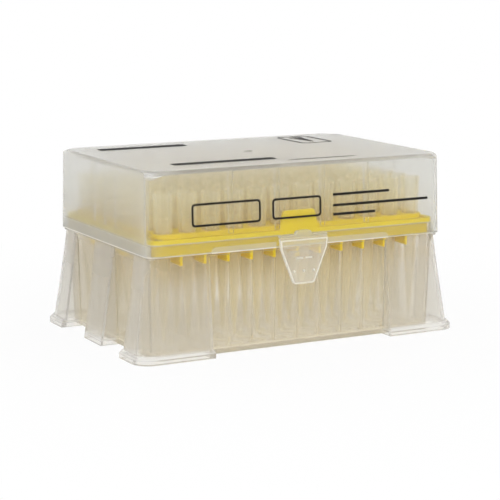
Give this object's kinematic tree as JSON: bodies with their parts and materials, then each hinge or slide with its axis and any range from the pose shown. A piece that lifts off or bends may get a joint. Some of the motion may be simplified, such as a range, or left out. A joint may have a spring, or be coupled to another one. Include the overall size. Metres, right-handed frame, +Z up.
{
  "type": "box of pipette tips",
  "caption": "Translucent hinged box of filter pipette tips on the microplate footprint: flared legs, coloured deck, tips hanging in it on a grid, rear-hinged lid and front latch flap.",
  "frame": {"origin": "centre of the footprint, on the surface that the box stands on", "axes": "+X along the length, -Y towards the front with the latch, +Z up"},
  "size_m": [0.1278, 0.0866, 0.0646],
  "materials": {
    "frosted_natural": "frosted, see-through",
    "yellow_deck": "satin",
    "clear_natural": "smooth, see-through",
    "white_filter": "porous, matte"
  },
  "bodies": {
    "base": {"base": "frosted_natural", "deck": "yellow_deck", "tips_column_01": "clear_natural", "tips_column_02": "clear_natural", "tips_column_03": "clear_natural", "tips_column_04": "clear_natural", "tips_column_05": "clear_natural", "tips_column_06": "clear_natural", "tips_column_07": "clear_natural", "tips_column_08": "clear_natural", "tips_column_09": "clear_natural", "tips_column_10": "clear_natural", "tips_column_11": "clear_natural", "tips_column_12": "clear_natural", "filters_column_01": "white_filter", "filters_column_02": "white_filter", "filters_column_03": "white_filter", "filters_column_04": "white_filter", "filters_column_05": "white_filter", "filters_column_06": "white_filter", "filters_column_07": "white_filter", "filters_column_08": "white_filter", "filters_column_09": "white_filter", "filters_column_10": "white_filter", "filters_column_11": "white_filter", "filters_column_12": "white_filter"},
    "lid": {"lid": "frosted_natural"},
    "latch": {"latch": "frosted_natural"}
  },
  "joints": [
    {"name": "lid_hinge", "type": "hinge", "parent": "base", "child": "lid", "pos_m": [0, 0.0421, 0.0379], "axis": [-1, 0, 0], "range_deg": [0, 105]},
    {"name": "latch_hinge", "type": "hinge", "parent": "lid", "child": "latch", "pos_m": [0, -0.0407, 0.0382], "axis": [-1, 0, 0], "range_deg": [0, 60]}
  ]
}
